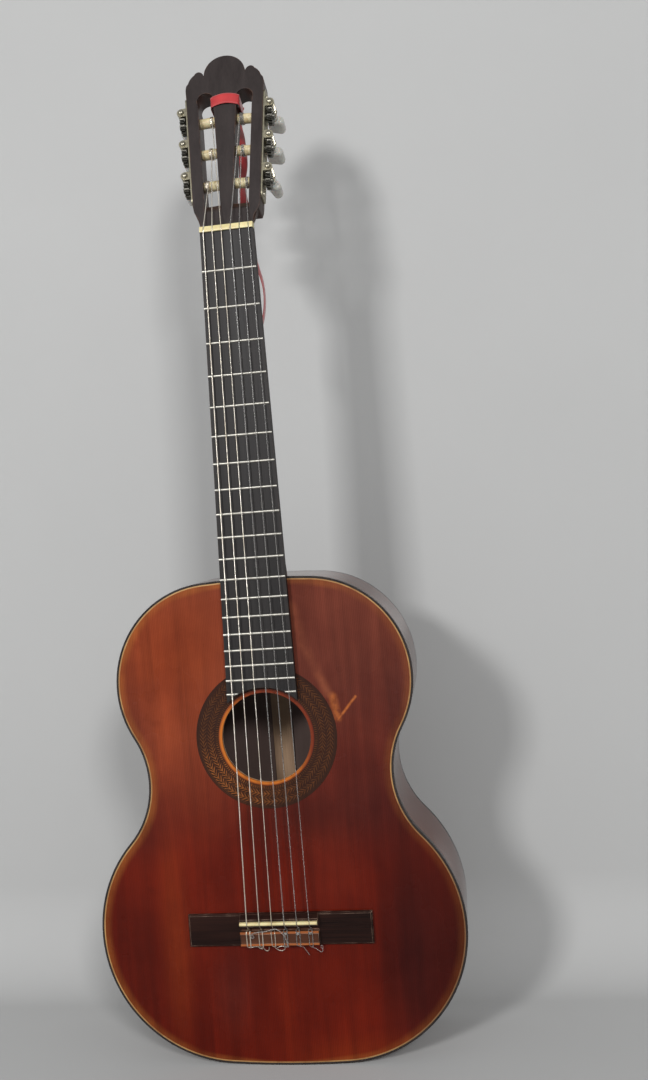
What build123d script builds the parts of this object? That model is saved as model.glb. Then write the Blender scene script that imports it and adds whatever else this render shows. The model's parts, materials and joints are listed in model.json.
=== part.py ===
from build123d import *
import os
from math import asin, atan, atan2, cos, degrees, hypot, pi, radians, sin, sqrt, tan

# Classical guitar with a slotted headstock and six worm-geared tuners.
# Millimetres. +Z runs up the neck, +X to the treble side, and the soundboard faces -Y.
# Origin: bottom of the lower bout on the centre line, at half the depth of the body's tail.
os.makedirs("parts", exist_ok=True)

# ---- driving dimensions: scale and body ----
scale_length = 650
saddle_z = 140
nut_z = saddle_z + scale_length
body_length = saddle_z + scale_length / 2
tail_depth = 96
neck_end_depth = 90
tail_radius, tail_turn = 900, 3.6
lower_bout_radius = 127.5
waist_radius = 85
upper_bout_radius = 97
shoulder_radius, shoulder_turn = 750, 4.0

side_thickness = 2
soundboard_thickness = 2.5
back_thickness = 2.6
back_arch_radius = 4000
binding_width, binding_depth = side_thickness, 5
purfling_width, purfling_depth = 1.2, 1.2
lining_width, lining_depth = 6, 15
back_lining_depth = 12
soundhole_z, soundhole_radius = 313.5, 42.6
rosette_inner, rosette_outer, rosette_depth = 46, 67.7, 1.2

# ---- driving dimensions: neck, headstock and fittings ----
nut_width, nut_length = 50.5, 5.5
neck_depth_at_nut, neck_depth_at_heel = 15.5, 18.5
body_end_width = 62.5
fretboard_thickness = 6.8
fretboard_end_z = saddle_z + 204
fretboard_scoop_radius = 48.5
fret_count = 19
fret_width, fret_height, fret_tang, fret_slot, fret_inset = 2.4, 1.1, 1.8, 0.6, 0.15
head_angle = 15
head_core, veneer = 18, 2
head_low = (32.4, 24)
head_high = (38.5, 146)
slot_width, slot_bottom_s, slot_top_s, slot_top_hole = 15.5, 24, 137, 8.3
slot_edge_from_side = 11

# ---- driving dimensions: tuners ----
roller_pitch, middle_roller_s, roller_depth = 35, 82.5, 7.5
gear_teeth, gear_module, gear_face = 14, 1.05, 4.4
worm_pitch_radius = 3.1
worm_distance = gear_module * gear_teeth / 2 + worm_pitch_radius
gear_plane = 6.2
plate_thickness = 1.5
screw_places = (-49, -17.5, 17.5, 56)
screw_radius, screw_head_radius, screw_head_rise, screw_head_taper, screw_length = 1.2, 2.5, 1.3, 22, 9

# ---- driving dimensions: bridge and strings ----
bridge_width, bridge_front_z, bridge_rear_z = 177, saddle_z + 7, saddle_z - 23.7
bridge_centre_width = 75
string_height_at_saddle, string_height_at_nut = 12.6, 8.6
saddle_spacing, nut_spacing = 11.9, 8.6
string_diameters = [0.72, 0.82, 1.02, 0.76, 0.9, 1.1]

front_y = -tail_depth / 2
running_gap = 0.05
clear = 5
beyond = 400
flare = degrees(atan((head_high[0] - head_low[0]) / (head_high[1] - head_low[1])))


def board(height):
    """Plane parallel to the soundboard, height in front of its face, local y up the neck."""
    return Plane.XZ.offset(height - front_y)


def save(builder, label):
    builder.part.label = label
    export_step(builder.part, "parts/" + label + ".step")


# ---- body outline: five arcs on each side, each tangent to the next ----
lower_centre = Vector(0, tail_radius) + (tail_radius - lower_bout_radius) * Vector(
    sin(radians(tail_turn)), -cos(radians(tail_turn))
)
upper_centre = Vector(0, body_length - shoulder_radius) + (
    shoulder_radius - upper_bout_radius
) * Vector(sin(radians(shoulder_turn)), cos(radians(shoulder_turn)))
between = upper_centre - lower_centre
lower_reach = lower_bout_radius + waist_radius
upper_reach = upper_bout_radius + waist_radius
along = (lower_reach**2 - upper_reach**2 + between.length**2) / (2 * between.length)
aside = sqrt(lower_reach**2 - along**2)
unit = between.normalized()
waist_centre = lower_centre + unit * along + Vector(unit.Y, -unit.X) * aside
to_waist = waist_centre - lower_centre
from_upper = waist_centre - upper_centre
lower_end_angle = degrees(atan2(to_waist.Y, to_waist.X))
upper_start_angle = degrees(atan2(from_upper.Y, from_upper.X))

with BuildSketch() as outline:
    with BuildLine():
        tail = JernArc((0, 0), (1, 0), tail_radius, tail_turn)
        lower_turn = 90 + lower_end_angle - tail_turn
        lower = JernArc(tail @ 1, tail % 1, lower_bout_radius, lower_turn)
        waist_turn = upper_start_angle - lower_end_angle
        waist = JernArc(lower @ 1, lower % 1, waist_radius, waist_turn)
        upper_turn = 90 - shoulder_turn - upper_start_angle
        upper = JernArc(waist @ 1, waist % 1, upper_bout_radius, upper_turn)
        shoulder = JernArc(upper @ 1, upper % 1, shoulder_radius, shoulder_turn)
        mirror(about=Plane.YZ)
    make_face()


def inset_outline(distance):
    """The body outline drawn in by a distance."""
    with BuildSketch() as inner:
        add(outline.sketch)
        offset(amount=-distance)
    return inner.sketch


def behind_back(inset):
    """Everything behind the arched back, with its surface moved forward by inset."""
    half_width = 210
    below, behind = 20, 60
    radius = back_arch_radius - inset
    crown_y = tail_depth / 2 - inset
    edge_y = crown_y - radius + sqrt(radius**2 - half_width**2)
    rise = (tail_depth - neck_end_depth) / body_length
    with BuildPart() as block:
        with BuildSketch(Plane((0, rise * below, -below))):
            with BuildLine():
                crown = ThreePointArc((-half_width, edge_y), (0, crown_y), (half_width, edge_y))
                far_y = crown_y + behind
                Polyline(crown @ 1, (half_width, far_y), (-half_width, far_y), crown @ 0)
            make_face()
        extrude(amount=body_length + 3 * below, dir=(0, -rise, 1))
    return block.part


inner_edge = inset_outline(side_thickness)
purfling_edge = inset_outline(binding_width + purfling_width)
lining_edge = inset_outline(side_thickness + lining_width)
back_surface = behind_back(0)
back_inside = behind_back(back_thickness)
back_binding_seat = behind_back(binding_depth)
through = tail_depth + 4 * clear

# ---- heel tenon, and the blocks at the two ends of the body ----
tenon_width, tenon_length, tenon_root, tenon_top, tenon_tall = 22, 22, 5, 14, 58
block_width, neck_block_length, end_block_length = 66, 46, 18


def heel_tenon():
    """Tenon that stands in the neck block's mortise, rooted a little way into the heel."""
    with BuildPart() as tenon:
        with BuildSketch(board(-tenon_top)):
            with Locations((0, body_length - tenon_length)):
                Rectangle(tenon_width, tenon_length + tenon_root, align=(Align.CENTER, Align.MIN))
        extrude(amount=-tenon_tall)
    return tenon.part


# ---- soundboard, its rosette and its edge ----
with BuildPart() as soundboard:
    with BuildSketch(board(0)):
        add(inner_edge)
        with Locations((0, soundhole_z)):
            Circle(soundhole_radius, mode=Mode.SUBTRACT)
    extrude(amount=-soundboard_thickness)
    with BuildSketch(board(0)):
        add(inner_edge)
        add(purfling_edge, mode=Mode.SUBTRACT)
    extrude(amount=-purfling_depth, mode=Mode.SUBTRACT)
    with BuildSketch(board(0)):
        with Locations((0, soundhole_z)):
            Circle(rosette_outer)
            Circle(rosette_inner, mode=Mode.SUBTRACT)
    extrude(amount=-rosette_depth, mode=Mode.SUBTRACT)
save(soundboard, "soundboard")

with BuildPart() as rosette:
    with BuildSketch(board(0)):
        with Locations((0, soundhole_z)):
            Circle(rosette_outer)
            Circle(rosette_inner, mode=Mode.SUBTRACT)
    extrude(amount=-rosette_depth)
save(rosette, "rosette")

with BuildPart() as purfling:
    with BuildSketch(board(0)):
        add(inner_edge)
        add(purfling_edge, mode=Mode.SUBTRACT)
    extrude(amount=-purfling_depth)
save(purfling, "top_purfling")

with BuildPart() as back_binding:
    with BuildSketch(board(-binding_depth)):
        add(outline.sketch)
        add(inner_edge, mode=Mode.SUBTRACT)
    extrude(amount=-through)
    add(back_binding_seat, mode=Mode.INTERSECT)
    add(back_surface, mode=Mode.SUBTRACT)

with BuildPart() as bindings:
    with BuildSketch(board(0)):
        add(outline.sketch)
        add(inner_edge, mode=Mode.SUBTRACT)
    extrude(amount=-binding_depth)
    add(back_binding.part)
save(bindings, "bindings")

# ---- sides, back and what stiffens them ----
with BuildPart() as sides:
    with BuildSketch(board(-binding_depth)):
        add(outline.sketch)
        add(inner_edge, mode=Mode.SUBTRACT)
    extrude(amount=-through)
    add(back_binding_seat, mode=Mode.SUBTRACT)
    add(heel_tenon(), mode=Mode.SUBTRACT)
    split(bisect_by=Plane.YZ, keep=Keep.BOTH)
save(sides, "sides")

with BuildPart() as back:
    with BuildSketch(board(-binding_depth)):
        add(inner_edge)
    extrude(amount=-through)
    add(back_inside, mode=Mode.INTERSECT)
    add(back_surface, mode=Mode.SUBTRACT)
    split(bisect_by=Plane.YZ, keep=Keep.BOTH)
save(back, "back")

with BuildPart() as end_block:
    with BuildSketch(board(-soundboard_thickness)):
        Rectangle(block_width, end_block_length, align=(Align.CENTER, Align.MIN))
        add(inner_edge, mode=Mode.INTERSECT)
    extrude(amount=-through)
    add(back_inside, mode=Mode.SUBTRACT)
save(end_block, "end_block")

with BuildPart() as neck_block:
    with BuildSketch(board(-soundboard_thickness)):
        with Locations((0, body_length)):
            Rectangle(block_width, neck_block_length, align=(Align.CENTER, Align.MAX))
        add(inner_edge, mode=Mode.INTERSECT)
    extrude(amount=-through)
    add(back_inside, mode=Mode.SUBTRACT)
    add(heel_tenon(), mode=Mode.SUBTRACT)
save(neck_block, "neck_block")

with BuildPart() as block_space:
    with BuildSketch(board(0)):
        Rectangle(block_width, end_block_length, align=(Align.CENTER, Align.MIN))
        with Locations((0, body_length)):
            Rectangle(block_width, neck_block_length, align=(Align.CENTER, Align.MAX))
    extrude(amount=-through)

with BuildPart() as back_lining:
    with BuildSketch(board(-soundboard_thickness - lining_depth)):
        add(inner_edge)
        add(lining_edge, mode=Mode.SUBTRACT)
    extrude(amount=-through)
    add(behind_back(back_thickness + back_lining_depth), mode=Mode.INTERSECT)
    add(back_inside, mode=Mode.SUBTRACT)

with BuildPart() as linings:
    with BuildSketch(board(-soundboard_thickness)):
        add(inner_edge)
        add(lining_edge, mode=Mode.SUBTRACT)
    extrude(amount=-lining_depth)
    add(back_lining.part)
    add(block_space.part, mode=Mode.SUBTRACT)
save(linings, "linings")

# Fan braces under the lower bout, two tall bars and a patch round the soundhole.
fan_count, fan_spacing, fan_length, fan_centre_z, fan_splay = 7, 27, 190, 148, 3.4
brace_width, fan_height, bar_height, bar_width, bar_from_hole = 6, 5, 15, 7, 64
fan_step, fan_taper, bar_taper = 10, 12, 4
patch_radius, patch_thickness = 58, 1.2
with BuildPart() as soundboard_braces:
    with BuildSketch(board(-soundboard_thickness)):
        for number in range(fan_count):
            place = number - (fan_count - 1) / 2
            shorten = fan_step * abs(place)
            fan_place = (place * fan_spacing, fan_centre_z + shorten / 4)
            with Locations(Location(fan_place, place * fan_splay)):
                Rectangle(brace_width, fan_length - shorten)
    extrude(amount=-fan_height, taper=fan_taper)
    with BuildSketch(board(-soundboard_thickness)):
        with Locations((0, soundhole_z - bar_from_hole), (0, soundhole_z + bar_from_hole)):
            Rectangle(beyond, bar_width)
        add(lining_edge, mode=Mode.INTERSECT)
    extrude(amount=-bar_height, taper=bar_taper)
    with BuildSketch(board(-soundboard_thickness)):
        with Locations((0, soundhole_z)):
            Circle(patch_radius)
            Circle(soundhole_radius, mode=Mode.SUBTRACT)
    extrude(amount=-patch_thickness)
save(soundboard_braces, "soundboard_braces")

back_brace_z = (95, 230, 375)
back_brace_height, back_brace_width = 14, 8
with BuildPart() as back_braces:
    with BuildSketch(board(-tail_depth / 2)):
        with Locations(*[(0, z) for z in back_brace_z]):
            Rectangle(beyond, back_brace_width)
        add(lining_edge, mode=Mode.INTERSECT)
    extrude(amount=-through)
    add(behind_back(back_thickness + back_brace_height), mode=Mode.INTERSECT)
    add(back_inside, mode=Mode.SUBTRACT)
save(back_braces, "back_braces")

strip_width, strip_thickness = 20, 2.2
with BuildPart() as back_strip:
    with BuildSketch(board(-tail_depth / 2)):
        with Locations((0, body_length / 2)):
            Rectangle(strip_width, body_length)
        with Locations(*[(0, z) for z in back_brace_z]):
            Rectangle(2 * strip_width, back_brace_width, mode=Mode.SUBTRACT)
    extrude(amount=-through)
    add(behind_back(back_thickness + strip_thickness), mode=Mode.INTERSECT)
    add(back_inside, mode=Mode.SUBTRACT)
    add(block_space.part, mode=Mode.SUBTRACT)
save(back_strip, "back_centre_strip")

# ---- neck: shaft, heel with its tenon, and the slotted headstock ----
head_seat = Plane(
    origin=(0, front_y, nut_z + nut_length),
    x_dir=(1, 0, 0),
    z_dir=(0, -cos(radians(head_angle)), sin(radians(head_angle))),
)
up_the_head = head_seat.y_dir


def level(z):
    """Plane square to the neck, its origin where the fretboard is glued, local y backwards."""
    return Plane(origin=(0, front_y, z), x_dir=(1, 0, 0), z_dir=(0, 0, 1))


def rounded_back(plane, width, depth, fullness, flatness):
    """D-shaped section with its flat side on the plane's x axis."""
    half = width / 2
    with BuildSketch(plane) as section:
        with BuildLine():
            Line((-half, 0), (half, 0))
            Bezier((half, 0), (half, depth * fullness), (half * flatness, depth), (0, depth))
            Bezier((-half, 0), (-half, depth * fullness), (-half * flatness, depth), (0, depth))
        make_face()
    return section.sketch


neck_into_body = 6
heel_fullness = 0.75


def horseshoe(depth, width, height):
    """Section of the heel at a depth behind the soundboard's face."""
    half = width / 2
    base, bend, tip = (body_length + rise for rise in (-neck_into_body, height * heel_fullness, height))
    with BuildSketch(board(-depth)) as section:
        with BuildLine():
            Line((-half, base), (half, base))
            Bezier((half, base), (half, bend), (half / 2, tip), (0, tip))
            Bezier((-half, base), (-half, bend), (-half / 2, tip), (0, tip))
        make_face()
    return section.sketch


# Half of the headstock's outline: the neck's edge, a flare, the long side, an ear and the crest's arc.
neck_corner, flare_start = (nut_width / 2, 0), (nut_width / 2 + 0.2, 4)
flare_pulls = [(nut_width / 2 + 0.8, 12), (31.6, 11)]
side_top, side_top_bulge = (38.2, 155.7), (38.8, 151)
ear_start, ear_bulge, ear_shoulder = (36.2, 158.4), (33.8, 163.6), (30, 167.2)
ear_tip_bulge, ear_tip, ear_inner_bulge = (27.4, 169.8), (24.6, 169.8), (21.9, 167.8)
crest_radius, crest_centre = 20.6, (0, 164.4)
with BuildSketch() as head_outline:
    with BuildLine():
        Polyline((0, 0), neck_corner, flare_start)
        Bezier(flare_start, *flare_pulls, head_low)
        Line(head_low, head_high)
        ThreePointArc(head_high, side_top_bulge, side_top)
        Line(side_top, ear_start)
        ThreePointArc(ear_start, ear_bulge, ear_shoulder)
        ThreePointArc(ear_shoulder, ear_tip_bulge, ear_tip)
        crest = CenterArc(crest_centre, crest_radius, 0, 90)
        ThreePointArc(ear_tip, ear_inner_bulge, crest @ 0)
        mirror(about=Plane.YZ)
    make_face()


def side_edge(s):
    """Half the headstock's width at a distance s up its face from the nut."""
    return head_low[0] + (s - head_low[1]) * tan(radians(flare))


slot_middle_s = (slot_bottom_s + slot_top_s) / 2
slot_centre = side_edge(slot_middle_s) - (slot_edge_from_side + slot_width / 2) / cos(radians(flare))
with BuildSketch() as string_slots:
    for hand in (-1, 1):
        with Locations(Location((hand * slot_centre, slot_middle_s), -hand * flare)):
            Rectangle(slot_width, slot_top_s - slot_bottom_s)
            with Locations((0, (slot_top_s - slot_bottom_s) / 2)):
                Circle(slot_top_hole)

# Ramps that let the strings down into the slots.
ramp_length, ramp_depth, ramp_overrun = 8, 5, 2
slot_bottom_x = side_edge(slot_bottom_s) - (slot_edge_from_side + slot_width / 2)
with BuildPart() as string_ramps:
    for hand in (-1, 1):
        ramp_plane = Plane(
            origin=head_seat.from_local_coords(Vector(hand * slot_bottom_x, slot_bottom_s, veneer)),
            x_dir=up_the_head,
            z_dir=(1, 0, 0),
        )
        with BuildSketch(ramp_plane):
            with BuildLine():
                Polyline(
                    (-ramp_length, 0),
                    (ramp_overrun, ramp_overrun),
                    (ramp_overrun, -ramp_depth),
                    (0, -ramp_depth),
                    close=True,
                )
            make_face()
        extrude(amount=slot_width / 2, both=True)

# ---- where each tuner sits: x up the headstock's side, y out of its face, z across it ----
stations = {}
for hand, first_string in ((1, 1), (-1, 6)):
    for place in (-1, 0, 1):
        lean = Vector(hand * sin(radians(flare)), cos(radians(flare)))
        spot = Vector(hand * side_edge(middle_roller_s), middle_roller_s) + lean * place * roller_pitch
        up_the_side = head_seat.x_dir * lean.X + up_the_head * lean.Y
        seat = Plane(
            origin=head_seat.from_local_coords(Vector(spot.X, spot.Y, -roller_depth)),
            x_dir=up_the_side,
            z_dir=up_the_side.cross(head_seat.z_dir),
        )
        stations[first_string + hand * (place + 1)] = (hand, seat)

barrel_radius, barrel_gap, journal_radius, journal_length = 4.8, 0.07, 3, 4.5
shank_radius, barrel_start = 2.5, 0.3
journal_overrun, bearing_land = 0.5, 2
slot_inner_edge = slot_edge_from_side + slot_width
heel_sections = [(8, 61, 58), (22, 55, 36), (48, 39, 20), (neck_end_depth + 8, 26, 13)]
heel_cap_thickness = 3
head_start_s, head_start_inset = 17, 2
shaft_shape, head_start_shape = (0.72, 0.55), (0.98, 0.93)
nut_end = rounded_back(level(nut_z + nut_length), nut_width, neck_depth_at_nut, *shaft_shape)
with BuildPart() as neck:
    heel_end = level(body_length - neck_into_body)
    loft(sections=[rounded_back(heel_end, body_end_width, neck_depth_at_heel, *shaft_shape), nut_end])
    head_start = Plane(
        origin=head_seat.from_local_coords(Vector(0, head_start_s, 0)),
        x_dir=(1, 0, 0),
        z_dir=up_the_head,
    )
    head_start_width = 2 * (side_edge(head_start_s) - head_start_inset)
    loft(sections=[nut_end, rounded_back(head_start, head_start_width, head_core, *head_start_shape)])
    loft(sections=[horseshoe(*section) for section in heel_sections])
    add(behind_back(heel_cap_thickness), mode=Mode.SUBTRACT)
    with BuildSketch(board(clear)):
        add(outline.sketch)
    extrude(amount=-through - 4 * clear, mode=Mode.SUBTRACT)
    add(heel_tenon())
    with BuildSketch(head_seat):
        add(head_outline.sketch)
        Rectangle(beyond, 2 * (head_start_s - head_start_inset), mode=Mode.SUBTRACT)
    extrude(amount=-head_core)
    with BuildSketch(head_seat):
        add(string_slots.sketch)
    extrude(amount=-head_core - 1, mode=Mode.SUBTRACT)
    add(string_ramps.part, mode=Mode.SUBTRACT)
    for hand, seat in stations.values():
        with BuildSketch(seat.offset(hand * clear)):
            Circle(barrel_radius + barrel_gap)
        extrude(amount=-hand * (clear + slot_edge_from_side + bearing_land), mode=Mode.SUBTRACT)
        with BuildSketch(seat.offset(-hand * (slot_inner_edge - bearing_land))):
            Circle(journal_radius + running_gap)
        extrude(amount=-hand * (bearing_land + journal_length + journal_overrun), mode=Mode.SUBTRACT)
    for hand, middle in (stations[2], stations[5]):
        with BuildSketch(middle):
            with Locations(*[(x, 0) for x in screw_places]):
                Circle(screw_radius)
        extrude(amount=plate_thickness * hand - screw_length * hand, mode=Mode.SUBTRACT)
save(neck, "neck")

with BuildPart() as heel_cap:
    loft(sections=[horseshoe(*section) for section in heel_sections])
    add(behind_back(heel_cap_thickness), mode=Mode.INTERSECT)
    add(back_surface, mode=Mode.SUBTRACT)
    with BuildSketch(board(clear)):
        add(outline.sketch)
    extrude(amount=-through - 4 * clear, mode=Mode.SUBTRACT)
save(heel_cap, "heel_cap")

with BuildPart() as headstock_veneer:
    with BuildSketch(head_seat):
        add(head_outline.sketch)
        add(string_slots.sketch, mode=Mode.SUBTRACT)
    extrude(amount=veneer)
    add(string_ramps.part, mode=Mode.SUBTRACT)
save(headstock_veneer, "headstock_veneer")

# ---- fretboard and frets ----
fretboard_taper = (body_end_width - nut_width) / 2 / (nut_z - body_length)


def fretboard_half(z):
    return nut_width / 2 + (nut_z - z) * fretboard_taper


fret_places = [saddle_z + scale_length / 2 ** (fret / 12) for fret in range(1, fret_count + 1)]
with BuildPart() as fretboard:
    with BuildSketch(board(0)):
        with BuildLine():
            Polyline(
                (-fretboard_half(nut_z), nut_z),
                (fretboard_half(nut_z), nut_z),
                (fretboard_half(fretboard_end_z), fretboard_end_z),
                (-fretboard_half(fretboard_end_z), fretboard_end_z),
                close=True,
            )
        make_face()
        with Locations((0, soundhole_z)):
            Circle(fretboard_scoop_radius, mode=Mode.SUBTRACT)
    extrude(amount=fretboard_thickness)
    with BuildSketch(board(fretboard_thickness)):
        with Locations(*[(0, z) for z in fret_places]):
            Rectangle(beyond, fret_slot)
    extrude(amount=-fret_tang, mode=Mode.SUBTRACT)
save(fretboard, "fretboard")

fretboard_face_y = front_y - fretboard_thickness
with BuildPart() as frets:
    for z in fret_places:
        with BuildSketch(Plane.YZ.shift_origin((0, fretboard_face_y, z))):
            with BuildLine():
                crown = ThreePointArc((0, -fret_width / 2), (-fret_height, 0), (0, fret_width / 2))
                Line(crown @ 0, crown @ 1)
            make_face()
            Rectangle(fret_tang, fret_slot, align=(Align.MIN, Align.CENTER))
        extrude(amount=fretboard_half(z) - fret_inset, both=True)
    with BuildSketch(board(0)):
        with Locations((0, soundhole_z)):
            Circle(fretboard_scoop_radius + fret_tang / 2)
    extrude(amount=2 * fretboard_thickness, mode=Mode.SUBTRACT)
save(frets, "frets")

# ---- strings: tied round the bridge, over saddle and nut, to the front of each roller ----
tie_top, tie_front_z, tie_rear_z, tie_hole_height = 9, saddle_z - 8.5, saddle_z - 21.5, 4.8
loop_behind, loop_aside, loop_back, nut_break_z = 1.7, 1.9, 1.5, nut_z + 1
string_bends = [1.5, 1.5, 2, 4, 6]
winding_x = {1: 18, 2: 14.5, 3: 13.8, 4: -13.8, 5: -14.5, 6: -18}
winding_turns = 4


def at(x, height, z):
    """Point at a height in front of the soundboard's face."""
    return Vector(x, front_y - height, z)


def roller_point(string, x):
    """Point on the roller's axis at a distance x from the centre line."""
    seat = stations[string][1]
    return seat.origin + seat.z_dir * ((x - seat.origin.X) / seat.z_dir.X)


def tangent_point(start, string):
    """Where a string from start first meets its roller's front."""
    axis_point = roller_point(string, winding_x[string])
    radius = barrel_radius + string_diameters[string - 1] / 2
    reach = hypot(axis_point.Y - start.Y, axis_point.Z - start.Z)
    heading = atan2(axis_point.Y - start.Y, axis_point.Z - start.Z) - asin(radius / reach)
    return axis_point + Vector(0, -cos(heading), sin(heading)) * radius


string_routes = {}
for string, diameter in enumerate(string_diameters, start=1):
    place = 3.5 - string
    x = place * saddle_spacing
    top = tie_top + diameter / 2 + running_gap
    nut_point = at(place * nut_spacing, string_height_at_nut, nut_break_z)
    route = [
        at(x + loop_aside, top, tie_front_z - loop_back),
        at(x + loop_aside, top, tie_rear_z - loop_behind),
        at(x, tie_hole_height, tie_rear_z - loop_behind),
        at(x, tie_hole_height, tie_front_z),
        at(x, string_height_at_saddle, saddle_z),
        nut_point,
        tangent_point(nut_point, string),
    ]
    string_routes[string] = FilletPolyline(*route, radius=string_bends)


def string_tube(string, extra=0):
    """The string as a round tube, fatter by extra all round."""
    route = string_routes[string]
    with BuildPart() as tube:
        with BuildSketch(Plane(origin=route @ 0, z_dir=route % 0)):
            Circle(string_diameters[string - 1] / 2 + extra)
        sweep(path=route.wire())
    return tube.part


string_channels = [string_tube(string, running_gap) for string in string_routes]
for string, (hand, seat) in stations.items():
    with BuildPart() as plain_string:
        add(string_tube(string))
        with BuildSketch(seat):
            Circle(barrel_radius + string_diameters[string - 1] + running_gap)
        extrude(amount=-hand * beyond, mode=Mode.SUBTRACT)
    save(plain_string, f"string_{string}")

nut_slope_z, nut_back_height = nut_z + 1.4, 6.8
with BuildPart() as nut:
    with BuildSketch(Plane.YZ.shift_origin((0, front_y, nut_z))):
        with BuildLine():
            Polyline(
                (0, 0),
                (-string_height_at_nut, 0),
                (-string_height_at_nut, nut_slope_z - nut_z),
                (-nut_back_height, nut_length),
                (0, nut_length),
                close=True,
            )
        make_face()
    extrude(amount=nut_width / 2, both=True)
    for channel in string_channels:
        add(channel, mode=Mode.SUBTRACT)
save(nut, "nut")

# ---- bridge, saddle and the strips on the tie block ----
wing_height, wing_chamfer, rear_lip, channel_floor = 4, 1.3, 2.6, 3
saddle_rail, saddle_thickness, saddle_length, saddle_seat = 9.3, 3, 74, 3.5
rail_rear_z, rail_front_z = saddle_z - 3.2, saddle_z + 3.4
inlay_width, inlay_thickness = 1.9, 1
with BuildPart() as bridge_wings:
    with BuildSketch(board(0)):
        with Locations((0, bridge_rear_z)):
            Rectangle(bridge_width, bridge_front_z - bridge_rear_z, align=(Align.CENTER, Align.MIN))
    extrude(amount=wing_height)
    chamfer(bridge_wings.faces().sort_by(Axis.Y)[0].edges(), length=wing_chamfer)

with BuildPart() as bridge:
    add(bridge_wings.part)
    with BuildSketch(Plane.YZ.shift_origin((0, front_y, 0))):
        with BuildLine():
            Polyline(
                (0, bridge_rear_z),
                (-rear_lip, bridge_rear_z),
                (-rear_lip, tie_rear_z),
                (-tie_top, tie_rear_z),
                (-tie_top, tie_front_z),
                (-channel_floor, tie_front_z),
                (-channel_floor, rail_rear_z),
                (-saddle_rail, rail_rear_z),
                (-saddle_rail, rail_front_z),
                (-wing_height, bridge_front_z),
                (0, bridge_front_z),
                close=True,
            )
        make_face()
    extrude(amount=bridge_centre_width / 2, both=True)
    with BuildSketch(board(saddle_rail)):
        with Locations((0, saddle_z)):
            Rectangle(saddle_length, saddle_thickness)
    extrude(amount=saddle_seat - saddle_rail, mode=Mode.SUBTRACT)
    with BuildSketch(board(tie_top)):
        with Locations((0, tie_front_z - inlay_width / 2), (0, tie_rear_z + inlay_width / 2)):
            Rectangle(bridge_centre_width, inlay_width)
    extrude(amount=-inlay_thickness, mode=Mode.SUBTRACT)
    for channel in string_channels:
        add(channel, mode=Mode.SUBTRACT)
save(bridge, "bridge")

with BuildPart() as tie_block_inlays:
    with BuildSketch(board(tie_top)):
        with Locations((0, tie_front_z - inlay_width / 2), (0, tie_rear_z + inlay_width / 2)):
            Rectangle(bridge_centre_width, inlay_width)
    extrude(amount=-inlay_thickness)
save(tie_block_inlays, "tie_block_inlays")

saddle_groove, saddle_crown = 0.2, 1.3
saddle_top = string_height_at_saddle - saddle_groove
with BuildPart() as saddle:
    with BuildSketch(Plane.YZ.shift_origin((0, front_y, saddle_z))):
        with Locations((-saddle_seat, 0)):
            Rectangle(saddle_top - saddle_seat, saddle_thickness, align=(Align.MAX, Align.CENTER))
    extrude(amount=saddle_length / 2, both=True)
    fillet(saddle.faces().sort_by(Axis.Y)[0].edges().filter_by(Axis.X), radius=saddle_crown)
    for channel in string_channels:
        add(channel, mode=Mode.SUBTRACT)
save(saddle, "saddle")

# ---- tuner plates: one strip each side, with a pair of lugs for every worm ----
plate_length, plate_width, plate_corner = 117, 18, 5
plate_centre = (3, -0.5)
lug_radius, lug_thickness, lug_inner = 4.2, 1.6, 7.0
worm_journal = 1.9


def worm_axis_plane(hand, seat):
    """Plane square to a worm's axis, its origin level with the roller's axis."""
    origin = seat.from_local_coords(Vector(worm_distance, 0, hand * gear_plane))
    return Plane(origin=origin, x_dir=seat.x_dir, z_dir=seat.y_dir)


with BuildPart() as tuner_plates:
    for hand, middle in (stations[2], stations[5]):
        with BuildSketch(middle):
            with Locations(plate_centre):
                RectangleRounded(plate_length, plate_width, plate_corner)
            with Locations(*[(place * roller_pitch, 0) for place in (-1, 0, 1)]):
                Circle(shank_radius + running_gap, mode=Mode.SUBTRACT)
            with Locations(*[(x, 0) for x in screw_places]):
                Circle(screw_radius, mode=Mode.SUBTRACT)
        extrude(amount=hand * plate_thickness)
    for hand, seat in stations.values():
        bearing = worm_axis_plane(hand, seat)
        for lug_start in (lug_inner, -lug_inner - lug_thickness):
            with BuildSketch(bearing.offset(lug_start)):
                Circle(lug_radius)
                Rectangle(
                    2 * lug_radius,
                    gear_plane - plate_thickness,
                    align=(Align.CENTER, Align.MIN if hand > 0 else Align.MAX),
                )
                Circle(worm_journal + running_gap, mode=Mode.SUBTRACT)
            extrude(amount=lug_thickness)
save(tuner_plates, "tuner_plates")

with BuildPart() as tuner_plate_screws:
    for hand, middle in (stations[2], stations[5]):
        with BuildSketch(middle.offset(hand * plate_thickness)):
            with Locations(*[(x, 0) for x in screw_places]):
                Circle(screw_radius)
        extrude(amount=-hand * screw_length)
        with BuildSketch(middle.offset(hand * plate_thickness)):
            with Locations(*[(x, 0) for x in screw_places]):
                Circle(screw_head_radius)
        extrude(amount=hand * screw_head_rise, taper=screw_head_taper)
save(tuner_plate_screws, "tuner_plate_screws")

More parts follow.
